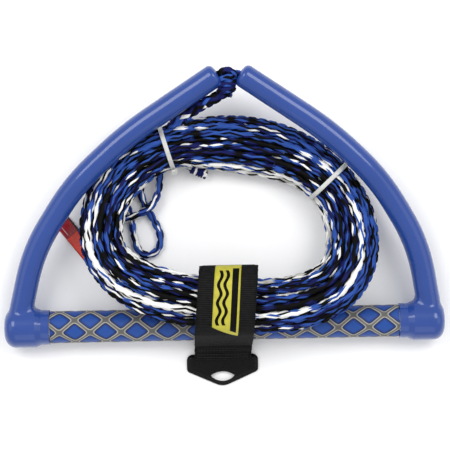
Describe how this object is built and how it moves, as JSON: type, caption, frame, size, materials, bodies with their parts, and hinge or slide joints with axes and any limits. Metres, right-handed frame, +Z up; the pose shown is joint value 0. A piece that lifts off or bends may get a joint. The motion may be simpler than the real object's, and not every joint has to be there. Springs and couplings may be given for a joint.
{
  "type": "tow rope handle",
  "caption": "V-shaped tow rope handle with a padded bar, two curved moulded arms, and its braided rope coiled, tied and strapped to the bar by a hanging tab.",
  "frame": {"origin": "middle of the hand grip's axis, with the object lying flat", "axes": "+X along the grip to the right, +Y from the grip towards the yoke's apex, +Z up from the surface that it lies on"},
  "size_m": [0.3808, 0.2749, 0.0736],
  "materials": {
    "arm_vinyl": "glossy moulded vinyl, blue",
    "grip_rubber": "satin rubber, blue, with a raised grey lattice",
    "tube_aluminium": "mill finish",
    "plug_plastic": "moulded polyethylene",
    "foam": "closed-cell foam",
    "yoke_cord": "braided polyethylene cord, dark blue and black",
    "tow_rope": "braided polyethylene rope in blue, black and white strands",
    "whipping_twine": "wrapped twine, dark blue and white",
    "tie_nylon": "natural nylon, slightly translucent",
    "strap_webbing": "black ribbed webbing",
    "hook_tape": "black hook-and-loop tape",
    "label_fabric": "woven label, yellow, plain",
    "tab_plastic": "satin black moulded plastic",
    "tag_vinyl": "printed vinyl, dark red",
    "tag_print": "printed vinyl, bright red, plain"
  },
  "bodies": {
    "handle": {"left_arm_boot": "arm_vinyl", "right_arm_boot": "arm_vinyl", "yoke_rope": "yoke_cord", "yoke_bridge": "yoke_cord", "tow_eye_hitch": "tow_rope", "tow_splice": "tow_rope", "rope_coil": "tow_rope", "boat_end_tail": "tow_rope", "rope_end_whipping": "whipping_twine", "left_cable_tie": "tie_nylon", "right_cable_tie": "tie_nylon", "strap_loop": "strap_webbing", "strap_hook_patch": "hook_tape", "strap_flap": "strap_webbing", "strap_label": "label_fabric", "tag_strip": "tag_vinyl", "tag_panel": "tag_print"},
    "grip_bar": {"grip_tube": "tube_aluminium", "grip_sleeve": "grip_rubber", "left_tube_plug": "plug_plastic", "right_tube_plug": "plug_plastic", "tube_foam_core": "foam"},
    "tab": {"strap_tail": "strap_webbing", "hang_tab": "tab_plastic"}
  },
  "joints": [
    {"name": "grip_spin", "type": "hinge", "parent": "handle", "child": "grip_bar", "pos_m": [0, 0, 0], "axis": [1, 0, 0], "continuous": true},
    {"name": "tab_fold", "type": "hinge", "parent": "handle", "child": "tab", "pos_m": [0, -0.0186, -0.006], "axis": [-1, 0, 0], "range_deg": [0, 85]}
  ]
}
